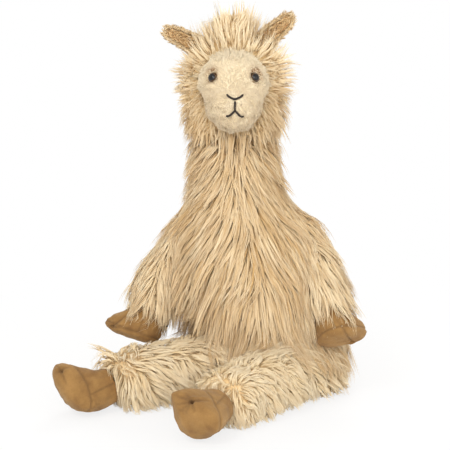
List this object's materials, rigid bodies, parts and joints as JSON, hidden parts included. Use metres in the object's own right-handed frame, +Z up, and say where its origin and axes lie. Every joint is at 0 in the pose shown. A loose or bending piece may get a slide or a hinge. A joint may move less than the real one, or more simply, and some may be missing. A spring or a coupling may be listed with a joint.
{
  "type": "plush llama",
  "caption": "Seated soft toy llama with a bell-shaped body, a long neck, a shaggy long-pile coat, a short-pile face and suede-like stuffed hooves.",
  "frame": {"origin": "middle of the flat seat, on the surface that the toy sits on", "axes": "+Z up, the toy looks along -Y, its own left side is at +X"},
  "size_m": [0.3076, 0.2777, 0.3935],
  "materials": {
    "cream_fur": "long shaggy polyester pile, tan at the roots and cream at the tips",
    "pale_fur": "shaggy polyester pile in a paler ivory, clumped",
    "ivory_plush": "short dense ivory plush",
    "cream_plush": "short cream plush",
    "tan_plush": "short tan plush",
    "eye_plastic": "glossy amber brown with a black pupil",
    "washer_plastic": "natural moulded plastic",
    "dark_thread": "near-black brown embroidery thread",
    "tan_suede": "matt suede-like cloth with fine nap"
  },
  "bodies": {
    "root": {"body": "cream_fur", "head": "cream_fur", "face": "ivory_plush", "ear_back_left": "cream_plush", "ear_back_right": "cream_plush", "ear_lining_left": "tan_plush", "ear_lining_right": "tan_plush", "eye_left": "eye_plastic", "eye_right": "eye_plastic", "eye_washer_left": "washer_plastic", "eye_washer_right": "washer_plastic", "nose_stitch": "dark_thread", "lip_stitch": "dark_thread", "mouth_stitch": "dark_thread", "arm_left": "cream_fur", "arm_right": "cream_fur", "front_hoof_left": "tan_suede", "front_hoof_right": "tan_suede", "leg_left": "pale_fur", "leg_right": "pale_fur", "hind_hoof_left": "tan_suede", "hind_hoof_right": "tan_suede"}
  },
  "joints": []
}
